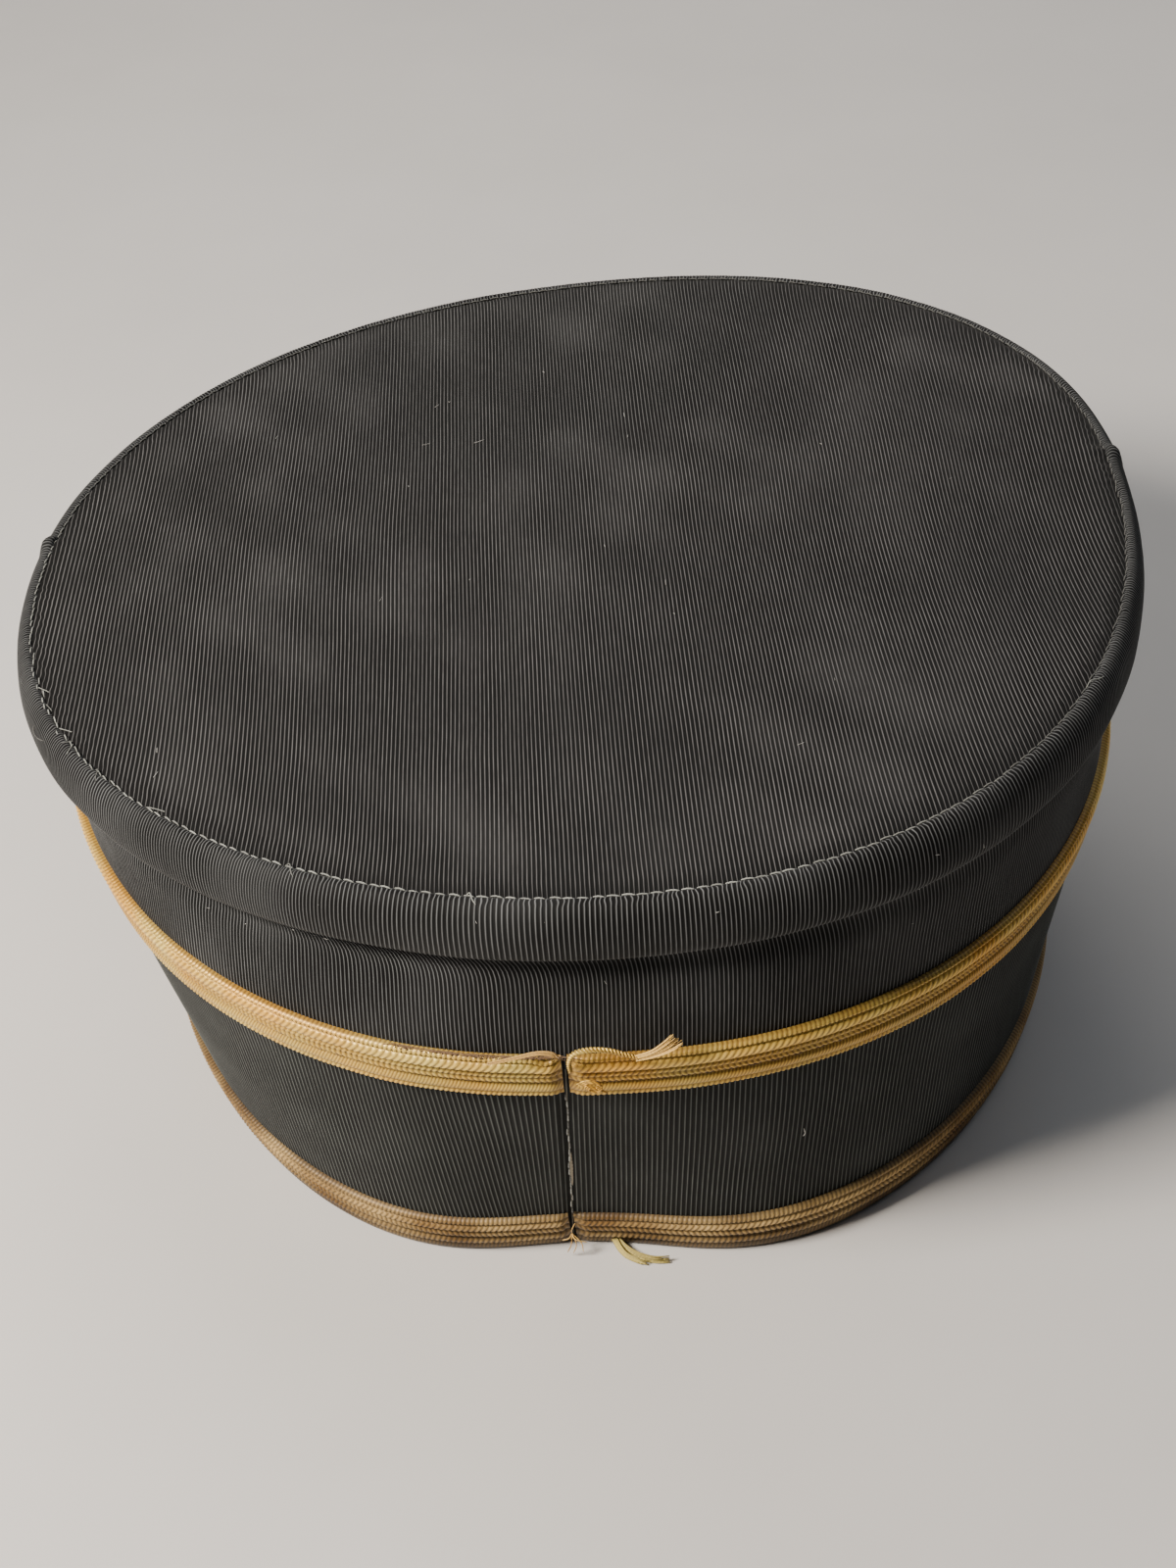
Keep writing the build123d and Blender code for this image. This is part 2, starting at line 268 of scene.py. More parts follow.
def tubes(name, paths, radius, material, sides=6, taper=0.55, tints=None):
    """Threads: one mesh of closed tubes along paths, thinner at both ends, each with a tint."""
    points, faces, coords = [], [], []
    start = 0
    for i, path in enumerate(paths):
        path = np.asarray(path, float)
        count = len(path)
        along = unit(np.gradient(path, axis=0))
        side = unit(np.cross(along, [0.13, 0.21, 0.97]))
        other = np.cross(along, side)
        thick = radius[i] if np.ndim(radius) else radius
        end = np.abs(np.linspace(-1, 1, count)) ** 4
        r = (thick * (1 - (1 - taper) * end))[:, None, None]
        turn = np.arange(sides) * TAU / sides
        c, s = np.cos(turn)[None, :, None], np.sin(turn)[None, :, None]
        ring = c * side[:, None] + s * other[:, None]
        body = path[:, None] + ring * r
        caps = [body[:1] * 0.0 + path[0], body, body[:1] * 0.0 + path[-1]]
        body = np.concatenate(caps, 0)
        length = np.concatenate([[0], arc_length(path), [arc_length(path)[-1]]])
        tint = np.full((count + 2, sides), i * 0.618 % 1.0 if tints is None else tints[i])
        layer = [np.repeat(length[:, None], sides, 1), np.tile(turn / TAU, (count + 2, 1)), tint]
        points.append(body.reshape(-1, 3))
        coords.append(np.stack(layer, -1).reshape(-1, 3))
        faces.append(grid_faces(count + 2, sides, True, start))
        start += (count + 2) * sides
    mesh = mesh_from(name, np.concatenate(points), np.concatenate(faces), np.concatenate(coords))
    return link(mesh, name, material)


# ---- materials ----


class Shader:
    """A node material, written as nested calls."""

    def __init__(self, name):
        self.material = bpy.data.materials.new(name)
        self.material.use_nodes = True
        self.tree = self.material.node_tree
        self.surface = self.tree.nodes["Principled BSDF"]

    def feed(self, socket, value):
        if isinstance(value, bpy.types.NodeSocket):
            self.tree.links.new(value, socket)
        else:
            socket.default_value = value

    def node(self, kind, inputs=(), **settings):
        made = self.tree.nodes.new(kind)
        for key, value in settings.items():
            setattr(made, key, value)
        for key, value in dict(inputs).items():
            self.feed(made.inputs[key], value)
        return made

    def set(self, **values):
        for key, value in values.items():
            self.feed(self.surface.inputs[key.replace("_", " ")], value)

    def math(self, operation, a, b=0.0, clamp=False):
        made = self.node("ShaderNodeMath", {0: a, 1: b}, operation=operation, use_clamp=clamp)
        return made.outputs[0]

    def mix(self, share, a, b):
        made = self.node("ShaderNodeMix", {0: share, 6: a, 7: b}, data_type="RGBA")
        return made.outputs[2]

    def vector(self, x, y, z=0.0):
        return self.node("ShaderNodeCombineXYZ", {0: x, 1: y, 2: z}).outputs[0]

    def noise(self, vector, scale, detail=3.0, rough=0.55):
        inputs = {"Vector": vector, "Scale": scale, "Detail": detail, "Roughness": rough}
        return self.node("ShaderNodeTexNoise", inputs).outputs[0]

    def spread(self, value, low, high, to_low=0.0, to_high=1.0):
        inputs = {0: value, 1: low, 2: high, 3: to_low, 4: to_high}
        return self.node("ShaderNodeMapRange", inputs, clamp=True).outputs[0]

    def coords(self):
        """The attribute "cloth" as three numbers."""
        attribute = self.node("ShaderNodeAttribute", attribute_name="cloth")
        parts = self.node("ShaderNodeSeparateXYZ", {0: attribute.outputs["Vector"]})
        return parts.outputs[0], parts.outputs[1], parts.outputs[2]

    def place(self):
        """The point's place on the object, in metres."""
        return self.node("ShaderNodeTexCoord").outputs["Object"]

    def bump(self, height, strength, distance):
        inputs = {"Height": height, "Strength": strength, "Distance": distance}
        return self.node("ShaderNodeBump", inputs).outputs[0]

    def crest(self, phase, sharpness):
        """1 on each rib or strand's crest and 0 in the furrow beside it."""
        wave = self.math("COSINE", self.math("MULTIPLY", phase, TAU))
        wave = self.math("MULTIPLY_ADD", wave, 0.5)
        wave.node.inputs[2].default_value = 0.5
        return self.math("POWER", wave, sharpness)


def ribbed_cloth(name, pitch, furrow, rib):
    """Faille: near-black furrows that are painted shade, thin pale crests greyed partly by wear and
    partly by painted highlight, slubs along each rib.
    """
    s = Shader(name)
    phase, height, wear_and_painted_light = s.coords()
    across = s.math("MULTIPLY", phase, pitch)
    crest = s.crest(phase, 7.0)
    slub_at = s.vector(s.math("MULTIPLY", phase, 1.3), s.math("MULTIPLY", height, 0.22))
    slub = s.noise(slub_at, 1.0)
    patch = s.noise(s.vector(across, height), 0.045, 4.0)
    weft_at = s.vector(s.math("MULTIPLY", phase, 0.6), s.math("MULTIPLY", height, 3.2))
    weft = s.noise(weft_at, 1.0)
    shade = s.math("MULTIPLY", s.spread(slub, 0.25, 0.8, 0.5, 1.0), s.spread(patch, 0.3, 0.7, 0.7, 1.0))
    # The third coordinate adds wear and random tone, with painted shade along the top's seam and a
    # painted highlight along the lower edge of the roll.
    shade = s.math("ADD", s.math("MULTIPLY", crest, shade), wear_and_painted_light, clamp=True)
    fuzz = s.spread(s.noise(s.vector(across, height), 1.1, 2.0), 0.755, 0.80, 0.0, 0.25)
    # Painted light: the furrow colour is near-black as painted shade, and the rib colour on the crests
    # is partly wear and partly painted highlight.
    colour = s.mix(shade, furrow, rib)
    colour = s.mix(s.math("MULTIPLY", fuzz, crest), colour, DUST)
    s.set(Base_Color=colour, Roughness=s.spread(patch, 0.3, 0.7, 0.62, 0.8))
    s.set(Specular_IOR_Level=0.12, Sheen_Weight=0.04, Sheen_Roughness=0.45)
    grain = s.math("ADD", crest, s.math("MULTIPLY", weft, 0.5))
    s.set(Normal=s.bump(grain, 0.35, 0.00008))
    return s.material


def braid_gold(name, gap, gold, bright, rough):
    """Woven metal-thread braid: strand crests brightened as painted highlight, gaps darkened as painted
    shade, and tarnished patches.
    """
    s = Shader(name)
    phase, height, row_shade = s.coords()
    crest = s.spread(s.crest(phase, 0.8), 0.0, 1.0, 0.32, 1.0)
    fine = s.vector(s.math("MULTIPLY", phase, 2.6), s.math("MULTIPLY", height, 1.5))
    fibre = s.noise(fine, 1.0)
    patch = s.noise(s.place(), 60.0, 4.0)
    shade = s.math("MULTIPLY", crest, s.spread(fibre, 0.25, 0.75, 0.75, 1.0))
    shade = s.math("MULTIPLY", shade, row_shade, clamp=True)
    # Painted light: the gap colour is painted shade between strands and rows, and crest brightens the
    # strands as painted highlight.
    colour = s.mix(shade, gap, s.mix(s.spread(patch, 0.35, 0.68), gold, bright))
    s.set(Base_Color=colour, Roughness=s.spread(fibre, 0.3, 0.7, rough, rough + 0.2))
    s.set(Metallic=0.3, Sheen_Weight=0.05, Sheen_Roughness=0.4)
    s.set(Normal=s.bump(s.math("ADD", crest, fibre), 0.3, 0.0001))
    return s.material


def thread_material(name, dark, light):
    """Twisted thread, a little different from one thread to the next."""
    s = Shader(name)
    along, around, tint = s.coords()
    twist = s.crest(s.math("ADD", s.math("MULTIPLY", along, 1.6), around), 1.0)
    blend = s.math("MULTIPLY", s.spread(tint, 0.0, 1.0, 0.15, 1.0), s.spread(twist, 0.0, 1.0, 0.5, 1.0))
    s.set(Base_Color=s.mix(blend, dark, light), Roughness=0.75, Sheen_Weight=0.2)
    s.set(Normal=s.bump(twist, 0.4, 0.00005))
    return s.material


def leather_material():
    """Brown grained leather, darker in patches."""
    s = Shader("sweatband_leather")
    place = s.place()
    grain = s.node("ShaderNodeTexVoronoi", {"Vector": place, "Scale": 900.0}).outputs[0]
    patch = s.noise(place, 45.0, 5.0)
    colour = s.mix(s.spread(patch, 0.3, 0.72), (0.105, 0.048, 0.022, 1), (0.26, 0.135, 0.062, 1))
    s.set(Base_Color=colour, Roughness=s.spread(patch, 0.3, 0.7, 0.38, 0.62))
    s.set(Normal=s.bump(s.math("ADD", grain, patch), 0.35, 0.0003))
    return s.material


def woven_material(name, dark, light, threads_per_metre, rough):
    """A plain or stiffened weave seen close: crossing threads and soft blotches."""
    s = Shader(name)
    x, y, z = s.node("ShaderNodeSeparateXYZ", {0: s.place()}).outputs[:3]
    around = s.math("ARCTAN2", y, x)
    warp = s.crest(s.math("MULTIPLY", around, threads_per_metre * 0.1), 1.0)
    weft = s.crest(s.math("MULTIPLY", z, threads_per_metre), 1.0)
    patch = s.noise(s.place(), 70.0, 4.0)
    weave = s.math("MAXIMUM", warp, weft)
    share = s.math("MULTIPLY", weave, s.spread(patch, 0.3, 0.7, 0.55, 1.0))
    s.set(Base_Color=s.mix(share, dark, light), Roughness=rough, Sheen_Weight=0.1)
    s.set(Normal=s.bump(weave, 0.3, 0.0002))
    return s.material


def wire_material():
    """Dull steel with rust spots."""
    s = Shader("edge_wire")
    spots = s.noise(s.place(), 250.0, 4.0)
    s.set(Base_Color=s.mix(spots, (0.30, 0.28, 0.25, 1), (0.12, 0.08, 0.06, 1)))
    s.set(Metallic=0.9, Roughness=s.spread(spots, 0.3, 0.7, 0.3, 0.55))
    return s.material


def pale_floor():
    """A plain pale table, very slightly mottled."""
    s = Shader("pale_floor")
    mottle = s.spread(s.noise(s.place(), 14.0, 4.0), 0.3, 0.7)
    s.set(Base_Color=s.mix(mottle, (0.54, 0.525, 0.51, 1), (0.515, 0.50, 0.485, 1)), Roughness=0.85)
    s.set(Specular_IOR_Level=0.2)
    return s.material


DUST = (0.3, 0.29, 0.27, 1)
# In each cloth the furrow colour is painted shade, and the rib colour is its crests, partly wear and
# partly painted highlight.
CLOTH_TOP = ribbed_cloth(
    "crown_top_cloth", RIB_TOP, (0.0012, 0.0012, 0.0012, 1), (0.152, 0.150, 0.150, 1)
)
CLOTH_SIDE = ribbed_cloth(
    "crown_side_cloth", RIB_SIDE, (0.0010, 0.0010, 0.0010, 1), (0.188, 0.194, 0.198, 1)
)
CLOTH_BAND = ribbed_cloth(
    "band_cloth", RIB_BAND, (0.0012, 0.0014, 0.0013, 1), (0.148, 0.162, 0.152, 1)
)
# The first colour of each braid is its gaps, painted shade.
GOLD = braid_gold(
    "upper_braid_gold", (0.09, 0.034, 0.005, 1), (1.0, 0.53, 0.07, 1), (1.0, 0.77, 0.19, 1), 0.32
)
TARNISHED = braid_gold(
    "lower_braid_gold", (0.016, 0.008, 0.003, 1), (0.31, 0.165, 0.040, 1), (0.86, 0.58, 0.22, 1), 0.42
)
PALE_THREAD = thread_material("pale_thread", (0.012, 0.011, 0.010, 1), (0.36, 0.37, 0.335, 1))
DARK_THREAD = thread_material("dark_thread", (0.02, 0.018, 0.015, 1), (0.07, 0.06, 0.05, 1))
BROWN_THREAD = thread_material("brown_thread", (0.06, 0.03, 0.012, 1), (0.22, 0.12, 0.045, 1))
STRAW = thread_material("straw_fibre", (0.34, 0.18, 0.04, 1), (0.95, 0.62, 0.17, 1))
OLIVE = thread_material("olive_fibre", (0.20, 0.15, 0.03, 1), (0.66, 0.54, 0.15, 1))
LINT = thread_material("lint", (0.35, 0.34, 0.32, 1), (0.75, 0.74, 0.70, 1))
LEATHER = leather_material()
LINING = woven_material("lining_cloth", (0.012, 0.011, 0.011, 1), (0.06, 0.055, 0.05, 1), 2600.0, 0.55)
TAPE = woven_material("tape_cloth", (0.03, 0.028, 0.025, 1), (0.11, 0.10, 0.09, 1), 1800.0, 0.75)
BUCKRAM = woven_material("buckram", (0.16, 0.13, 0.09, 1), (0.47, 0.41, 0.31, 1), 900.0, 0.85)
BOARD = woven_material("pressed_board", (0.26, 0.20, 0.13, 1), (0.34, 0.27, 0.18, 1), 500.0, 0.9)
WIRE = wire_material()
REED = woven_material("reed", (0.40, 0.34, 0.24, 1), (0.62, 0.56, 0.44, 1), 700.0, 0.5)


# ---- ribbed cloth ----


def rib_height(phase, relief):
    """How far a rib stands out, from 0 in the furrow to relief on the crest."""
    return relief * (0.5 + 0.5 * np.cos(TAU * phase))


# Creases of the top: centre y, centre x and width in mm, slope, and height in mm.
TOP_CREASES = [
    (-62, 4, 5.0, 0.10, 0.55),
    (-30, 9, 6.5, -0.06, -0.45),
    (12, -6, 8.0, 0.09, 0.5),
    (38, 12, 6.0, 0.02, -0.4),
    (-84, -30, 4.0, -0.05, -0.3),
    (60, 20, 7.0, 0.08, 0.35),
]
DEEPEST_DENT = 0.75
SAG = 0.5
TOP_HALF_WIDTH = 97
TOP_HALF_LENGTH = 101


def top_plane(x, y):
    """The height of the tilted plane that the crown seam lies in."""
    return SEAM_Z + SEAM_TILT_X * x + SEAM_TILT_Y * y


def crown_top():
    """The flat top: ribs run from back to front, and curve outwards and pucker at the seam."""
    half_width, half_length, n = SEAM_HALF_WIDTH, SEAM_HALF_LENGTH, SEAM_ROUNDNESS
    ribs = int(2 * half_width / RIB_TOP)
    columns = ribs * COLUMNS_PER_RIB + 1
    rows = 88
    phase = np.arange(columns) / COLUMNS_PER_RIB
    x = np.linspace(-half_width, half_width, columns) * 0.9994
    reach = half_length * (1 - np.abs(x / half_width) ** n) ** (1 / n)
    v = np.linspace(-1, 1, rows)
    v = v * (1 - 0.14 * (1 - v**2))
    xs = np.broadcast_to(x, (rows, columns))
    ys = v[:, None] * reach
    share = (np.abs(xs / half_width) ** n + np.abs(ys / half_length) ** n) ** (1 / n)
    inside = (1 - share) * 0.5 * (half_width + half_length)
    angle = np.arctan2(ys, xs)
    fade = np.clip(inside / 3.0, 0, 1)
    pucker = bell(inside, 2.4)
    round_edge = angle * CROWN_RADIUS
    sway = 0.22 * ripples(xs, ys, 46.0, 5, 3, 2.0) + 0.06 * ripples(xs, ys, 9.0, 5, 4, 3.0)
    pull = 1.5 * x / np.hypot(x, reach + 8) * (1 - np.exp(-inside / 5.0))
    gather = 0.22 * pucker * np.clip(inside, 0, 1) * ripples(round_edge, inside, 2.6, 4, 5)
    side = sway * fade - pull + gather
    radial = np.hypot(xs, ys) + 1e-6
    lobe = SEAM_COS3 * np.cos(3 * angle) + SEAM_SIN3 * np.sin(3 * angle)
    lobe = lobe + SEAM_SIN4 * np.sin(4 * angle)
    stretch = 1 + lobe * share**2 / radial
    xs, ys = xs * stretch + SEAM_SHIFT_X, ys * stretch + SEAM_SHIFT_Y
    lift = 0.75 * (1 - np.exp(-inside / 1.1)) - 0.15
    lift = lift + top_dents(xs, ys) * np.clip(inside / 14.0, 0, 1)
    lift = lift + 0.13 * pucker * ripples(round_edge, inside, 2.6, 5, 6)
    for rim_x, seam_y in ((TOP_HALF_WIDTH, RIGHT_SEAM_Y), (-TOP_HALF_WIDTH, LEFT_SEAM_Y)):
        lift = lift + seam_bump(xs - rim_x, ys - seam_y)
    ribs_up = rib_height(phase[None, :], RIB_RELIEF * (0.45 + 0.55 * fade))
    height = top_plane(xs, ys) + lift + ribs_up
    points = np.stack([xs + side, ys, height], -1)
    wear_and_painted_light = 0.06 * ripples(xs, ys, 60.0, 6, 8) + 0.05 * ripples(xs, ys, 17.0, 6, 18)
    # Painted shade: a dark band along the seam, where the top puckers into it.
    wear_and_painted_light = wear_and_painted_light - 0.24 * bell(inside, 1.7)
    coords = np.stack([np.broadcast_to(phase, xs.shape), ys, wear_and_painted_light], -1)
    return grid_piece("crown_top_cloth", points, coords, CLOTH_TOP)


def seam_bump(across, along):
    """The small lump on the rim where a side seam ends."""
    return 0.55 * np.exp(-((across / 2.6) ** 2) - (along / 1.6) ** 2)


def top_dents(x, y):
    """Shallow creases that run across the top, and its slight sag."""
    total = -SAG * (1 - (x / TOP_HALF_WIDTH) ** 2 - (y / TOP_HALF_LENGTH) ** 2)
    for centre_y, centre_x, width, slope, depth in TOP_CREASES:
        off = (y - centre_y - slope * (x - centre_x)) / width
        total += depth * bell(off, 1.0) * bell(x - centre_x, 62.0)
    return np.maximum(total, -DEEPEST_DENT) + 0.16 * ripples(x, y, 55.0, 6, 7)


def crown_wall(name, first, last):
    """Half of the crown side: roll at the top, crease under it, straight down to the braid."""
    ribs = int((last - first) * CROWN_RADIUS / RIB_SIDE)
    columns = ribs * COLUMNS_PER_RIB + 1
    rows = 48
    angle = np.linspace(first, last, columns)[None, :]
    share = np.linspace(0, len(CROWN_SIDE) - 1, rows)[:, None]
    share = np.broadcast_to(share, (rows, columns))
    stations = between(share, CROWN_SIDE)
    at = angle * CROWN_RADIUS
    turn = angle + 0.004 * ripples(at, share * 3, 30.0, 5, 21)
    near_seam = np.clip(share - (len(CROWN_SIDE) - 3), 0, 2) / 2
    turn = turn + 0.0030 * near_seam * (1 - near_seam) * 4 * ripples(at, share, 2.6, 4, 5)
    above = 1 / (1 + np.exp(-(share - 4.0) / 0.28))
    off_ends = np.clip(np.minimum(angle - first, last - angle) / 0.2, 0, 1)
    turn = turn - off_ends * above * (slip(angle) + 0.006 * ripples(at, 0 * share, 26.0, 4, 22))
    points = on_outline(stations, turn)
    out = normals(points)
    phase = np.broadcast_to(np.arange(columns) / COLUMNS_PER_RIB, share.shape)
    lift = rib_height(phase, RIB_RELIEF * (1 - 0.45 * near_seam))
    lift = lift + crown_folds(turn, share)
    moved = turn * CROWN_RADIUS
    lift = lift + 0.14 * near_seam * ripples(moved, share * 2, 2.6, 5, 6)
    on_rim = bell(share - 9.3, 1.4)
    for end in (first, last):
        from_end = (angle - end) * CROWN_RADIUS
        lift = lift + 0.9 * on_rim * bell(from_end, 1.7)
        lift = lift - 0.35 * bell(from_end, 0.8) * (1 - on_rim)
    points = points + out * lift[..., None]
    # Painted highlight: edge lightens the cloth in a thin line along the lower edge of the roll;
    # near_seam adds wear at the rim, and cloudy adds random tone.
    edge = bell(share - 5.3, 0.35) * (0.5 + 0.5 * ripples(moved, share, 40.0, 4, 9))
    cloudy = 0.06 * ripples(moved, points[..., 2], 22.0, 6, 19)
    wear_and_painted_light = 0.04 * near_seam**2 + 0.14 * edge + cloudy
    coords = np.stack([phase, points[..., 2], wear_and_painted_light], -1)
    return grid_piece(name, points, coords, CLOTH_SIDE)


def from_back(angle):
    """The angle from the middle of the back, positive to the right."""
    return np.mod(angle + TAU, TAU) - 1.5 * math.pi


def slip(angle):
    """How far the cloth above the crease is turned against the cloth under it, in radians."""
    back = from_back(angle)
    return 0.066 * bell(back + 0.33, 0.30) + 0.014 * bell(back - 0.45, 0.25)


def crown_folds(angle, share):
    """How the roll swells and the crease sinks on their way round, in mm."""
    at = angle * CROWN_RADIUS
    roll = bell(share - 7.0, 2.2)
    crease = bell(share - 4.1, 0.75)
    foot = bell(share - 5.4, 0.5)
    deep = bell(from_back(angle) + 0.35, 0.75)
    swell = 0.45 * ripples(at, 0 * at, 75.0, 4, 31) + 0.22 * ripples(at, 0 * at, 21.0, 4, 32)
    sink = 0.35 + 0.75 * deep + 0.45 * ripples(at, 0 * at, 60.0, 4, 33)
    sink = sink + 0.3 * ripples(at, 0 * at, 16.0, 4, 34)
    return 0.7 * roll * swell - crease * np.maximum(sink, 0) + 0.35 * foot * deep


def band_cloth():
    """The band, from the bottom edge to under the upper braid, joined at the back seam."""
    ribs = int(TAU * BAND_RADIUS / RIB_BAND)
    columns = ribs * COLUMNS_PER_RIB + 1
    rows = 32
    z = np.linspace(BAND_BOTTOM, BAND_TOP, rows)[:, None]
    start = back_seam_at(z)
    share = np.linspace(0, 1, columns)[None, :]
    angle = start + SEAM_OPENING + (TAU - 2 * SEAM_OPENING) * share
    at = angle * BAND_RADIUS
    from_seam = np.minimum(angle - start, start + TAU - angle)
    calm = np.clip(from_seam / 0.12, 0, 1)
    lean = 0.055 * bell(start + TAU - angle - 0.18, 0.22) * (z / BAND_TOP - 0.5)
    turn = angle + calm * (0.0035 * ripples(at, z, 34.0, 5, 41) - lean)
    points = band_point(np.broadcast_to(z, (rows, columns)), turn)
    out = normals(points)
    phase = np.broadcast_to(np.arange(columns) / COLUMNS_PER_RIB, (rows, columns))
    tuck = -0.75 * bell(from_seam * BAND_RADIUS, 0.9)
    lift = rib_height(phase, RIB_RELIEF * 1.1) + tuck + 0.18 * ripples(at, z, 40.0, 5, 42)
    points = points + out * lift[..., None]
    cloudy = 0.06 * ripples(at, z, 20.0, 6, 43)
    coords = np.stack([phase, points[..., 2], cloudy], -1)
    return grid_piece("band_cloth", points, coords, CLOTH_BAND)


# ---- braid ----

# Rows of a braid from its bottom edge to its top: where the row starts and ends as a share of
# the height, how far it stands out, the strand pitch and relief, the strands' slant, all in
# mm, and how bright the row is.
# In both tables the narrow low rows, with brightness 0.12 and 0.15, are grooves painted dark as shade.
UPPER_ROWS = [
    (0.00, 0.10, 1.00, 0.80, 0.22, 0.2, 0.85),
    (0.10, 0.33, 1.30, 0.55, 0.07, 0.5, 0.72),
    (0.33, 0.38, 0.60, 0.95, 0.05, 0.0, 0.12),
    (0.38, 0.51, 1.20, 0.90, 0.24, -0.4, 0.66),
    (0.51, 0.64, 1.25, 0.90, 0.24, 0.4, 0.70),
    (0.64, 0.91, 1.65, 1.05, 0.20, 1.0, 1.00),
    (0.91, 1.00, 1.25, 0.75, 0.22, 0.2, 0.80),
]
LOWER_ROWS = [
    (0.00, 0.24, 0.80, 0.70, 0.07, 0.3, 0.30),
    (0.24, 0.44, 1.10, 0.95, 0.24, 0.4, 0.60),
    (0.44, 0.50, 0.60, 0.95, 0.05, 0.0, 0.15),
    (0.50, 0.68, 1.25, 0.95, 0.24, -0.4, 0.75),
    (0.68, 0.88, 1.35, 1.00, 0.22, 0.7, 0.95),
    (0.88, 1.00, 1.10, 0.80, 0.20, 0.2, 0.62),
]


def braid(name, bottom, rows_of, points_at, material):
    """A braid round the cap, from one side of its butt joint to the other."""
    columns = 2700
    rows = 35
    start = float(back_seam_at(bottom + 5.0))
    gap = 0.5 * BRAID_GAP / CROWN_RADIUS
    angle = np.linspace(start + gap, start + TAU - gap, columns)
    v = np.linspace(0, 1, rows)
    at = angle * CROWN_RADIUS
    relief = np.zeros((rows, columns))
    phase = np.zeros((rows, columns))
    shade = np.zeros((rows, columns))
    for i, (low, high, stand, pitch, depth, slant, bright) in enumerate(rows_of):
        chosen = (v >= low) & (v <= high)
        q = 2 * (v[chosen] - low) / (high - low) - 1
        along = at[None, :] - slant * q[:, None] + 0.12 * ripples(at, 0 * at, 14.0, 4, 50 + i)
        strand = along / pitch
        dome = np.sqrt(np.maximum(1 - 0.94 * q**2, 0))[:, None]
        rope = depth * np.abs(np.cos(math.pi * strand))
        relief[chosen] = 0.35 + (stand - 0.35) * dome + rope * dome
        phase[chosen] = strand
        # Painted shade: each row darkens towards its edges, where it meets the next row.
        shade[chosen] = bright * (0.35 + 0.65 * dome)
    wave = 0.22 * ripples(at, 0 * at, 38.0, 5, 60) + 0.10 * ripples(at, 0 * at, 11.0, 5, 61)
    z = bottom + v[:, None] * BRAID_HEIGHT + wave[None, :] * np.clip(bottom, 0, 1)
    from_joint = np.minimum(angle - angle[0], angle[-1] - angle) * CROWN_RADIUS
    droop = 2.4 * bell(at[-1] - at - 2.2, 1.6) * np.clip(bottom, 0, 1)
    z = z - droop * np.clip(v[:, None] - 0.6, 0, 1)
    points = points_at(z, np.broadcast_to(angle, (rows, columns)))
    pinch = 1 - 0.6 * bell(from_joint, 1.1)
    worn = 0.12 * ripples(at[None, :], 3 * z, 16.0, 6, 62)
    points = points + normals(points) * (relief * pinch)[..., None]
    points = closed_back(points, points_at, z, angle)
    joint_shade = 1 - 0.45 * bell(from_joint, 1.6)
    height = v[:, None] * BRAID_HEIGHT + 0 * phase
    coords = np.stack([phase, height, shade * joint_shade + worn], -1)
    coords = np.concatenate([coords[:1], coords, coords[-1:]], 0)
    return grid_piece(name, points, coords, material)


def closed_back(points, points_at, z, angle):
    """Adds the braid's turned-in lower and upper edges, which lie on the cloth."""
    low = points_at(z[:1], np.broadcast_to(angle, (1, len(angle))))
    high = points_at(z[-1:], np.broadcast_to(angle, (1, len(angle))))
    return np.concatenate([low, points, high], 0)


def lower_edge_point(z, angle):
    """The band's outline at a height, with no tilt, so that it lies flat on the table."""
    points = band_point(z, angle)
    points[..., 2] = z
    return points


# ---- stitches, frayed ends and loose threads ----


def smooth_path(points, count=24):
    """A smooth line through a few given points."""
    points = np.array(points, float)
    return between(np.linspace(0, len(points) - 1, count), points)


def seam_stitches():
    """Topstitching on the crown edge: short pale stitches, painted dark as shade on the right and
    front, untidy at the left.
    """
    count = int(TAU * STITCH_RADIUS / STITCH_PITCH)
    knots = 6
    seam = np.broadcast_to(SEAM, (knots, len(SEAM)))
    paths, tints = [], []
    for i in range(count):
        middle = TAU * (i + 0.5) / count + rng.normal(0, 0.0012)
        # Painted light: stitches keep their pale tint only from the left round to the back, and are
        # painted dark as shade elsewhere.
        painted_lit_side = 1 / (1 + math.exp((abs(middle - 4.1) - 1.15) / 0.10))
        tints.append(painted_lit_side * rng.uniform(0.45, 1.0))
        half = 0.5 * (STITCH_PITCH * rng.uniform(0.84, 0.98)) / STITCH_RADIUS
        angles = np.linspace(middle - half, middle + half, knots)
        untidy = math.exp(-(((middle - 3.55) / 0.22) ** 2))
        points = on_outline(seam, angles)
        drift = rng.normal(0, 0.08 + 0.25 * untidy) + np.linspace(-0.14, 0.14, knots)
        points[:, :2] *= 1 + drift[:, None] / CROWN_RADIUS
        arch = 0.20 + 0.5 * untidy * rng.uniform(0, 1)
        points[:, 2] += 0.04 + arch * np.sin(np.linspace(0.05, 3.09, knots))
        paths.append(points)
    return tubes("crown_topstitch", paths, 0.12, PALE_THREAD, tints=tints)


def band_stitches(name, angle_at, heights, length, radius, material, lift=0.05):
    """Upright stitches on the band."""
    paths = []
    for z in heights:
        tall = z + np.linspace(-0.5, 0.5, 5) * length
        angles = angle_at(tall) + rng.normal(0, 0.0012)
        out = outwards(angles)
        raised_by = lift + 0.25 * np.sin(np.linspace(0.1, math.pi - 0.1, 5))
        paths.append(band_point(tall, angles) + out * raised_by[:, None])
    return tubes(name, paths, radius, material)


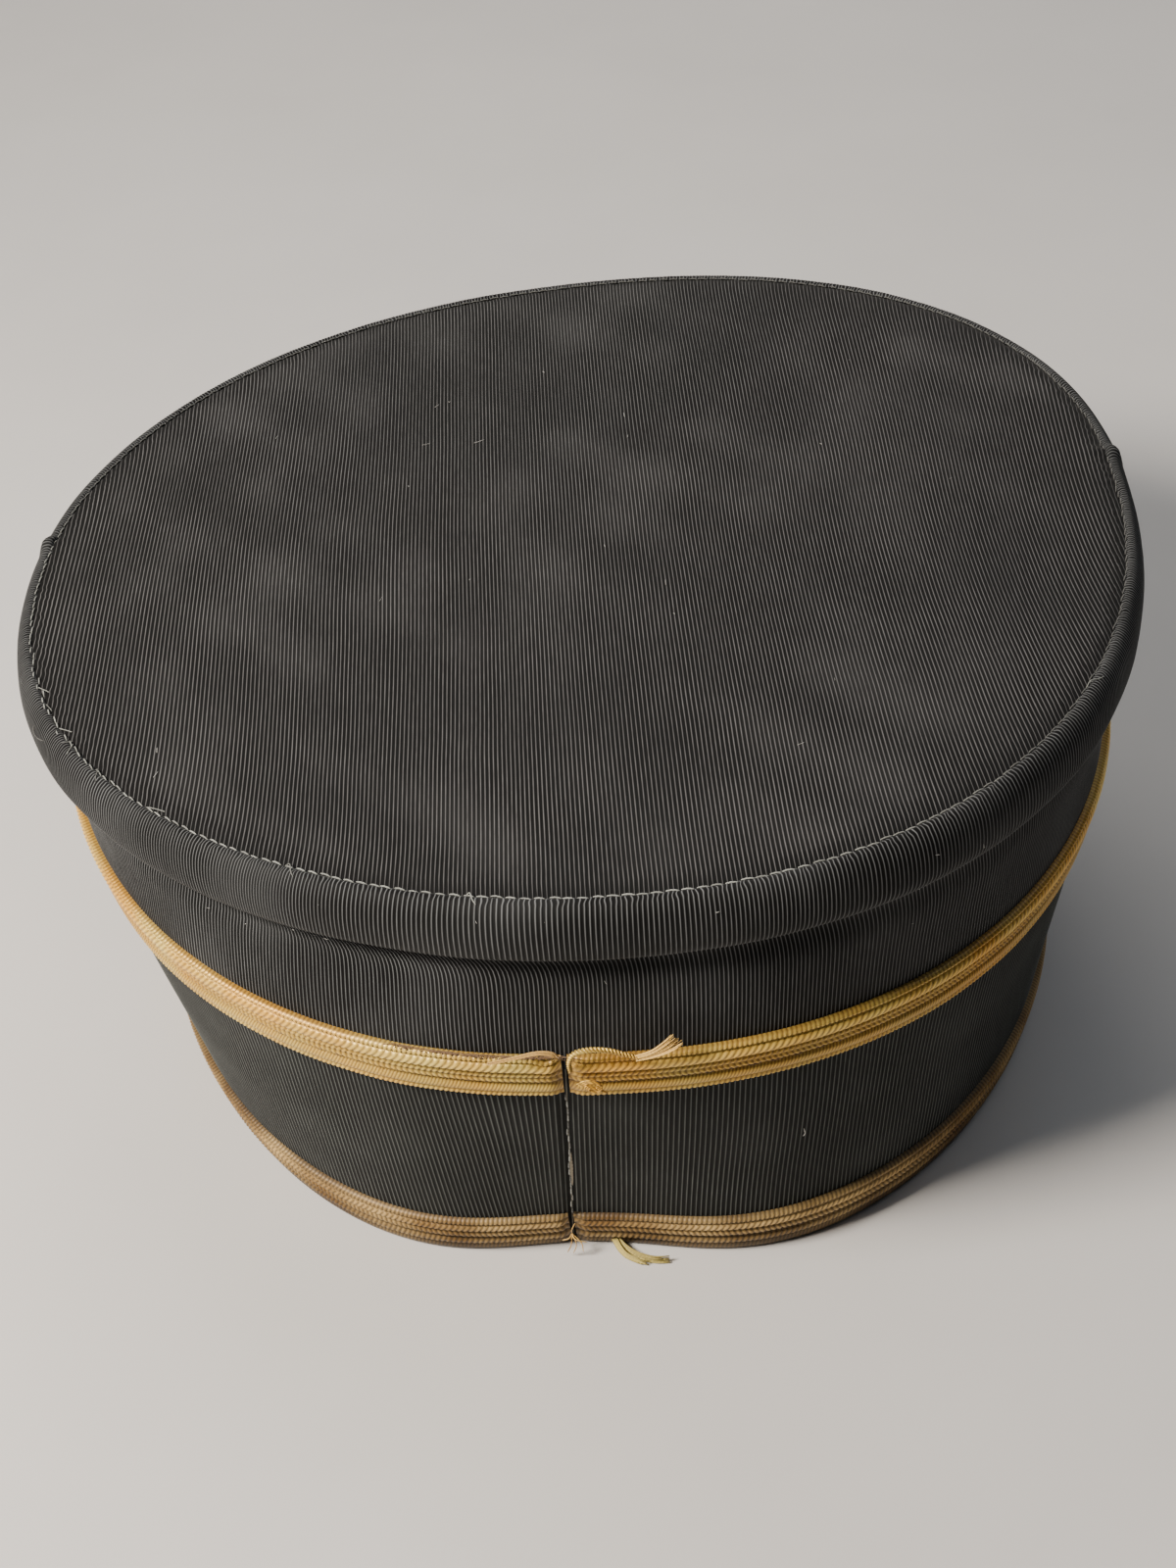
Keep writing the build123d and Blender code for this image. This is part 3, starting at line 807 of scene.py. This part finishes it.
def row_stitches(name, height, pitch, length, points_at, stand, material, arch=0.2):
    """A row of sewing stitches along a braid or the sweatband, at one height."""
    start = float(back_seam_at(height))
    margin = 0.025
    turn = TAU - 2 * margin
    count = int(turn * ROW_RADIUS / pitch)
    paths = []
    for i in range(count):
        middle = start + margin + turn * (i + 0.5) / count + rng.normal(0, 0.002)
        angles = middle + np.linspace(-0.5, 0.5, 5) * length * rng.uniform(0.8, 1.1) / ROW_RADIUS
        z = np.full(5, height) + rng.normal(0, 0.05) + np.linspace(-0.08, 0.08, 5)
        out = outwards(angles)
        raised_by = stand + arch * np.sin(np.linspace(0, math.pi, 5))
        paths.append(points_at(z, angles) + out * raised_by[:, None])
    return tubes(name, paths, 0.14, material, sides=5)


def side_seam_stitches():
    """A few dark stitches that close the crown's side seams, above the braid."""
    paths = []
    for seam_y, guess in ((RIGHT_SEAM_Y, 0.0), (LEFT_SEAM_Y, math.pi)):
        for share in np.arange(1.4, 5.2, 0.45):
            shares = share + np.linspace(-0.15, 0.15, 5)
            stations = between(shares, CROWN_SIDE)
            angles = angle_towards(stations, 1, seam_y, guess) + rng.normal(0, 0.001)
            out = outwards(angles)
            raised_by = 0.1 + 0.2 * np.sin(np.linspace(0, math.pi, 5))
            paths.append(on_outline(stations, angles) + out * raised_by[:, None])
    return tubes("crown_side_seam_thread", paths, 0.15, DARK_THREAD)


def strands(centre, width, count, radius, wander, splay, open_end=0.5):
    """Fine fibres that run together along a line and splay apart towards its end."""
    centre = smooth_path(centre, 14)
    along = unit(np.gradient(centre, axis=0))
    side = unit(np.cross(along, [0.1, -1.0, 0.15]))
    t = np.linspace(0, 1, len(centre))[:, None]
    paths = []
    for i in range(count):
        where = 2 * (i + 0.5) / count - 1 + rng.normal(0, 0.1)
        last = int(len(centre) * rng.uniform(1 - open_end * 0.4, 1.0))
        off = side * where * width * (1 + splay * t**2) + rng.normal(0, wander, 3) * t**1.5
        deep = np.array([0, -1, 0]) * rng.uniform(0, 0.5 * width)
        paths.append((centre + off + deep)[: max(last, 6)])
    radii = [radius * rng.uniform(0.7, 1.2) for _ in paths]
    return paths, radii


def twisted_cord(centre, radius, pitch, count=2):
    """Strands that turn round each other along a line."""
    centre = smooth_path(centre, 90)
    along = unit(np.gradient(centre, axis=0))
    side = unit(np.cross(along, [0.0, -1.0, 0.2]))
    other = np.cross(along, side)
    turn = arc_length(centre)[:, None] * TAU / pitch
    paths = []
    for i in range(count):
        now = turn + TAU * i / count
        paths.append(centre + radius * (np.cos(now) * side + np.sin(now) * other))
    return paths, [radius * 0.95] * count


def turned_end():
    """The braid's edge cord, pulled up at the joint and folded back along the top edge."""
    loop = [(-6.4, -103.1, 56.0), (-6.5, -103.7, 58.8), (-5.7, -104.0, 60.8), (-3.4, -104.2, 61.6),
            (-0.6, -104.3, 61.3), (2.0, -104.3, 60.2), (4.6, -104.2, 59.0)]
    swirl = [(-5.6, -104.3, 54.4), (-4.3, -104.5, 55.2), (-3.0, -104.5, 55.0), (-2.3, -104.5, 54.0),
             (-3.1, -104.6, 53.2), (-4.2, -104.6, 53.6), (-4.0, -104.7, 54.3), (-1.5, -104.4, 52.6)]
    paths, radii = twisted_cord(loop, 0.25, 1.15)
    for shift in (0.0, 0.5, 1.0):
        moved = [(x + shift * 0.5, y - shift * 0.1, z - shift * 0.45) for x, y, z in swirl]
        paths.append(smooth_path(moved, 30))
        radii.append(0.2)
    return tubes("upper_braid_turned_cord", paths, radii, GOLD, tints=[0.8] * len(paths))


def frayed_tip():
    """The flat frayed tip that sticks up above the braid, and the pulled strand at the left."""
    tip = [(3.6, -104.2, 59.2), (6.0, -104.3, 59.9), (8.2, -104.4, 61.2), (10.8, -104.3, 63.3)]
    paths, radii = strands(tip, 0.55, 34, 0.10, 0.12, 2.2)
    left = [(-19.0, -102.6, 58.6), (-15.0, -103.2, 60.0), (-11.5, -103.7, 61.3), (-9.0, -103.8, 61.0),
            (-7.9, -103.8, 59.6)]
    more, more_radii = strands(left, 0.28, 10, 0.09, 0.10, 0.2, 0.1)
    tints = [rng.uniform(0.5, 1.0) for _ in paths] + [rng.uniform(0.0, 0.4) for _ in more]
    return tubes("upper_braid_fray", paths + more, radii + more_radii, STRAW, tints=tints)


def floor_tuft():
    """The tuft that comes out from under the lower braid and lies on the table."""
    middle = [(-1.6, -90.6, 1.4), (-0.4, -92.2, 0.8), (1.8, -94.2, 0.6), (4.8, -95.6, 0.6),
              (8.6, -95.8, 0.55)]
    short = [(-1.8, -91.0, 1.6), (-0.8, -93.0, 0.9), (0.4, -94.4, 0.6), (2.2, -95.6, 0.5),
             (4.0, -96.4, 0.45)]
    paths, radii = strands(middle, 0.65, 44, 0.12, 0.12, 0.5)
    more, more_radii = strands(short, 0.5, 22, 0.11, 0.12, 0.7)
    paths = [np.maximum(path, [-1e3, -1e3, 0.16]) for path in paths + more]
    return tubes("lower_braid_tuft", paths, radii + more_radii, OLIVE)


def joint_threads():
    """Broken thread ends in the lower braid's joint."""
    foot = (-8.9, -92.3, 5.0)
    paths = []
    for x, y, z in ((-9.9, -93.1, 1.0), (-7.2, -93.4, 1.2), (-8.9, -93.2, 0.8), (-6.4, -93.2, 3.4),
                    (-10.6, -93.0, 4.2), (-8.2, -93.2, 8.6)):
        middle = (0.5 * (foot[0] + x) + rng.normal(0, 0.4), -93.4, 0.5 * (foot[2] + z) + 0.4)
        paths.append(smooth_path([foot, middle, (x, y, z)], 12))
    return tubes("lower_joint_threads", paths, 0.10, STRAW)


def raw_edge():
    """The cloth's frayed raw edge above the upper braid, left of the back seam."""
    paths = []
    for _ in range(260):
        z = 60.8 + rng.uniform(-0.3, 0.9)
        turn = float(back_seam_at(61.0)) - rng.uniform(0.002, 0.26)
        angles = turn + np.linspace(0, 1, 6) * rng.normal(0, 0.012)
        heights = z + np.linspace(0, 1, 6) * rng.uniform(0.1, 1.4)
        out = outwards(angles)
        stand = 0.5 + 0.9 * np.linspace(0, 1, 6) * rng.uniform(0.0, 1.0)
        paths.append(band_point(heights, angles) + out * stand[:, None])
    return tubes("crown_side_raw_edge", paths, 0.065, BROWN_THREAD, sides=4)


def loose_threads():
    """The broken topstitch thread at the left of the rim, and small curled ends along the seam."""
    long_end = [(-97.0, -17.0, 80.2), (-96.7, -24.1, 81.2), (-95.1, -29.3, 81.8), (-91.8, -36.2, 83.2),
                (-92.5, -39.4, 80.9), (-90.9, -42.8, 81.4), (-87.1, -46.9, 83.6), (-83.6, -49.9, 86.0)]
    paths = [smooth_path(long_end, 46)]
    for angle in (3.46, 3.52, 3.60, 3.66, 3.75, 3.9, 4.2, 4.5, 5.6):
        root = on_outline(SEAM, np.array(angle))
        tangent = np.array([-math.sin(angle), math.cos(angle), 0.0])
        size = rng.uniform(1.2, 2.6)
        lean = rng.uniform(-1.2, 1.2)
        curl = [root + [0, 0, 0.2], root + tangent * size * 0.5 + [0, 0, 0.8],
                root + tangent * size + root * lean / CROWN_RADIUS * [1, 1, 0] + [0, 0, 0.5],
                root + tangent * size * 1.5 + root * lean / 60 * [1, 1, 0] + [0, 0, 0.35]]
        paths.append(smooth_path(curl, 14))
    return tubes("rim_loose_threads", paths, 0.085, PALE_THREAD, sides=5)


def lint():
    """Short pale fibres that cling to the cloth."""
    paths = [smooth_path([(30.2, -96.4, 29.9), (30.5, -96.6, 30.8), (30.3, -96.4, 31.7)], 8)]
    for _ in range(46):
        share = rng.uniform(2.5, 8.5)
        angle = rng.uniform(0, TAU)
        turn = angle + np.linspace(-0.5, 0.5, 5) * rng.normal(0, 0.006)
        shares = share + np.linspace(-0.5, 0.5, 5) * rng.normal(0, 0.12)
        out = outwards(turn)
        paths.append(on_outline(between(shares, CROWN_SIDE), turn) + out * 0.32)
    for _ in range(22):
        x, y = rng.uniform(-70, 70), rng.uniform(-70, 70)
        t = np.linspace(-0.5, 0.5, 5)
        xs, ys = x + t * rng.normal(0, 0.7), y + t * rng.normal(0, 0.7)
        z = top_plane(xs, ys) + 0.85 + top_dents(xs, ys)
        paths.append(np.stack([xs, ys, z], -1))
    radii = [0.07] + [0.034 * rng.uniform(0.6, 1.3) for _ in paths[1:]]
    return tubes("lint_fibres", paths, radii, LINT, sides=4)


# ---- inside ----


def offset_wall(inset, heights, columns, waves):
    """A closed wall inside the band, its distance varied by waves."""
    angle = np.linspace(0, TAU, columns, endpoint=False)[None, :]
    z = np.asarray(heights, float)[:, None]
    points = band_point(np.broadcast_to(z, (len(heights), columns)), angle)
    return points - normals(points, True) * (inset + waves(angle, z))[..., None]


def closed_ring(name, outer, inner, material):
    """A wall with two faces and closed edges, all the way round."""
    body = np.concatenate([outer, inner[::-1]], 0)
    rows, columns = body.shape[:2]
    index = np.arange(rows * columns).reshape(rows, columns)
    index = np.concatenate([index, index[:1]], 0)
    index = np.concatenate([index, index[:, :1]], 1)
    return link(mesh_from(name, body.reshape(-1, 3), quads(index)), name, material)


def sweatband():
    """The leather band inside, with a soft top edge and two pressed lines on its inner face."""
    columns = 360
    heights = np.concatenate([[3.6], np.linspace(4.4, 39.0, 30), [40.0]])

    def waves(angle, z):
        at = angle * SWEATBAND_RADIUS
        return np.abs(0.5 * bell(z - 40.0, 2.5) * ripples(at, 0 * z, 50.0, 4, 71)) * 0.5

    def grooved(angle, z):
        lines = bell(z - 7.2, 0.6) + bell(z - 36.5, 0.6)
        return waves(angle, z) - 0.15 * lines

    outer = offset_wall(2.98, heights, columns, waves)
    inner = offset_wall(3.92, heights, columns, grooved)
    return closed_ring("sweatband_leather", outer, inner, LEATHER)


def joint_tape():
    """The strip of tape that closes the sweatband at the back, a little slack."""
    rows, columns = 30, 15
    z = np.broadcast_to(np.linspace(6.6, 36.8, rows)[:, None], (rows, columns))
    turn = back_seam_at(20.0) + np.linspace(-0.5, 0.5, columns)[None, :] * 12.0 / TAPE_RADIUS
    slack = 0.12 * ripples(turn * TAPE_RADIUS, z, 11.0, 5, 75)
    points = band_point(z, np.broadcast_to(turn, z.shape))
    points = points - normals(points) * (4.25 + slack)[..., None]
    return grid_piece("sweatband_joint_tape_cloth", points, points, TAPE)


# The lining's outlines, in the same form as the cloth's, and its depth under the top.
LINING_WALL = [
    (29.5, 84.8, 96.6, 2.16, 1.4, 1.2, -0.006, 0.018, 3.6, 0.0, 0.3, 0.0),
    (51.9, 88.5, 98.6, 2.15, 0.7, 0.3, -0.011, 0.031, 0.8, -0.1, -0.2, 0.0),
    (61.3, 89.8, 99.3, 2.15, 0.7, 0.3, -0.011, 0.031, 0.5, -0.1, -0.2, 0.0),
    (71.8, 92.6, 99.0, 2.17, 1.1, 0.1, 0.015, -0.007, 0.0, -0.9, 0.5, 0.4),
    (79.5, 96.0, 99.3, 2.13, 1.5, 0.1, 0.039, -0.031, 0.0, -1.6, 1.0, 0.6),
]
LINING_DROP = 2.9


def lining_wall():
    """The inner side of the crown, with the lining gathered in soft upright pleats."""
    columns = 900
    rows = 40
    share = np.linspace(0, len(LINING_WALL) - 1, rows)[:, None]
    angle = np.linspace(0, TAU, columns, endpoint=False)[None, :]
    stations = between(np.broadcast_to(share, (rows, columns)), LINING_WALL)
    points = on_outline(stations, angle)
    at = angle * LINING_RADIUS
    pleats = 0.25 * ripples(at, share * 4, 9.0, 6, 81, 6.0) + 0.2
    points = points - normals(points, True) * np.abs(pleats)[..., None]
    coords = np.stack([at / 0.5 + 0 * share, points[..., 2], 0 * points[..., 2]], -1)
    return grid_piece("lining_wall_cloth", points, coords, LINING, wrap=True)


def lining_disc():
    """The lining under the top, drawn up in a shallow sag with faint radial gathers."""
    rows, columns = 40, 480
    r = np.linspace(0.004, 1, rows)[:, None]
    angle = np.linspace(0, TAU, columns, endpoint=False)[None, :]
    c, s = np.cos(angle), np.sin(angle)
    half_width, half_length, n = 89.5, 92.5, SEAM_ROUNDNESS
    reach = (np.abs(c / half_width) ** n + np.abs(s / half_length) ** n) ** (-1 / n)
    x, y = r * reach * c + SEAM_SHIFT_X, r * reach * s + SEAM_SHIFT_Y
    plane = top_plane(x, y) - LINING_DROP
    sag = -1.1 * (1 - r**2) + 0.22 * r**3 * ripples(angle * GATHER_RADIUS, 0 * r, 7.0, 6, 91)
    points = np.stack([x, y, plane + sag], -1)
    coords = np.stack([x, y, 0 * x], -1)
    return grid_piece("lining_top_cloth", points, coords, LINING, wrap=True)


# ---- putting it together ----


def paint(node, material):
    """Sets the material of a CAD solid that stays in the scene."""
    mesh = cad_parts[node].data
    mesh.materials.clear()
    mesh.materials.append(material)


def place(piece, slot_name, *nodes):
    """Ties a piece to the body and hides the CAD solids it replaces; the slot name is not used."""
    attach(piece, "root")
    if nodes:
        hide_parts(*nodes)
    return piece


side_right = float(angle_towards(SEAM, 1, RIGHT_SEAM_Y, 0.0))
side_left = float(angle_towards(SEAM, 1, LEFT_SEAM_Y, math.pi))

top = place(crown_top(), "ribbed_cloth", "crown_top_panel")

front = crown_wall("crown_side_front_cloth", side_right + SEAM_OPENING, side_left - SEAM_OPENING)
place(front, "ribbed_cloth", "crown_side_front")

back = crown_wall(
    "crown_side_back_cloth", side_left + SEAM_OPENING, side_right + TAU - SEAM_OPENING
)
place(back, "ribbed_cloth", "crown_side_back")

band = place(band_cloth(), "ribbed_cloth", "band_cover")

upper = braid("upper_braid_woven", UPPER_BRAID_BOTTOM, UPPER_ROWS, band_point, GOLD)
place(upper, "gold_braid", "upper_braid")
lower = braid("lower_braid_woven", LOWER_BRAID_BOTTOM, LOWER_ROWS, lower_edge_point, TARNISHED)
place(lower, "tarnished_braid", "lower_braid")

place(seam_stitches(), "thread", "crown_edge_stitching")
back_thread = band_stitches(
    "back_seam_thread", back_seam_at, np.arange(11.0, 51.0, 2.3),
    length=1.9, radius=0.14, material=PALE_THREAD,
)
place(back_thread, "thread", "back_seam_stitching")
place(side_seam_stitches(), "thread", "crown_side_seam_stitching")
upper_row = row_stitches(
    "upper_braid_thread", height=55.3, pitch=3.4, length=2.5,
    points_at=band_point, stand=0.72, material=BROWN_THREAD,
)
place(upper_row, "gold_thread", "upper_braid_stitching")
lower_row = row_stitches(
    "lower_braid_thread", height=4.5, pitch=3.4, length=2.5,
    points_at=lower_edge_point, stand=0.72, material=BROWN_THREAD,
)
place(lower_row, "gold_thread", "lower_braid_stitching")
inner_row = row_stitches(
    "sweatband_thread", height=7.2, pitch=4.0, length=3.0,
    points_at=band_point, stand=-4.0, material=PALE_THREAD, arch=-0.2,
)
place(inner_row, "thread", "sweatband_stitching")
place(turned_end(), "gold_braid", "upper_braid_turned_end")
place(frayed_tip(), "frayed_gold", "upper_braid_frayed_tip")
place(floor_tuft(), "frayed_gold", "lower_braid_frayed_tuft")
place(joint_threads(), "frayed_gold")
place(raw_edge(), "thread")
place(loose_threads(), "thread")
place(lint(), "thread")

tape = place(joint_tape(), "lining", "sweatband_joint_tape")
place(sweatband(), "leather", "sweatband")
wall = place(lining_wall(), "lining", "lining_side")
disc = place(lining_disc(), "lining", "lining_top")

PAINTED = {
    "crown_edge_wire": WIRE,
    "crown_top_stiffener": BOARD,
    "crown_side_stiffener": BUCKRAM,
    "band_stiffener": BUCKRAM,
    "sweatband_reed": REED,
}
for node_name, node_material in PAINTED.items():
    paint(node_name, node_material)


# ---- floor, light and camera ----


REACH = 2.5
GROUND = -0.0002
FLOOR = pale_floor()
corners = [(x * REACH, y * REACH, GROUND) for x, y in ((-1, -1), (1, -1), (1, 1), (-1, 1))]
floor_mesh = bpy.data.meshes.new("floor")
floor_mesh.from_pydata(corners, [], [(0, 1, 2, 3)])
link(floor_mesh, "floor", FLOOR)


def area_light(name, at, towards, size, watts, colour):
    """A square lamp that faces a point."""
    lamp = bpy.data.lights.new(name, "AREA")
    lamp.size = size
    lamp.energy = watts
    lamp.color = colour
    lamp_object = bpy.data.objects.new(name, lamp)
    bpy.context.scene.collection.objects.link(lamp_object)
    lamp_object.location = at
    aim = Vector(towards) - Vector(at)
    lamp_object.rotation_euler = aim.to_track_quat("-Z", "Y").to_euler()


area_light("key", (-0.46, -0.25, 0.55), (0, 0, 0.05), 0.20, 13.5, (1.0, 0.92, 0.82))
area_light("overhead", (0.40, 0.25, 0.95), (0.16, 0, 0), 0.8, 3.0, (0.88, 0.93, 1.0))
area_light("far_side", (-0.1, 0.75, 0.85), (0, 0.5, 0), 0.6, 5.0, (1.0, 0.95, 0.88))

world = bpy.data.worlds.new("studio")
world.use_nodes = True
sky = world.node_tree.nodes["Background"]
sky.inputs[0].default_value = (0.84, 0.9, 1.0, 1)
sky.inputs[1].default_value = 0.05
bpy.context.scene.world = world

CAMERA_AT = Vector((-0.00049, -0.35335, 0.31971))
PITCH_DOWN = math.radians(39.57)
ROLL = math.radians(-4.23)
LENS_MM = 54.0

camera = bpy.data.objects.new("camera", bpy.data.cameras.new("camera"))
bpy.context.scene.collection.objects.link(camera)
camera.data.lens = LENS_MM
camera.data.clip_start = 0.01
look = Matrix.Rotation(math.pi / 2 - PITCH_DOWN, 4, "X") @ Matrix.Rotation(ROLL, 4, "Z")
camera.matrix_world = Matrix.Translation(CAMERA_AT) @ look
bpy.context.scene.camera = camera
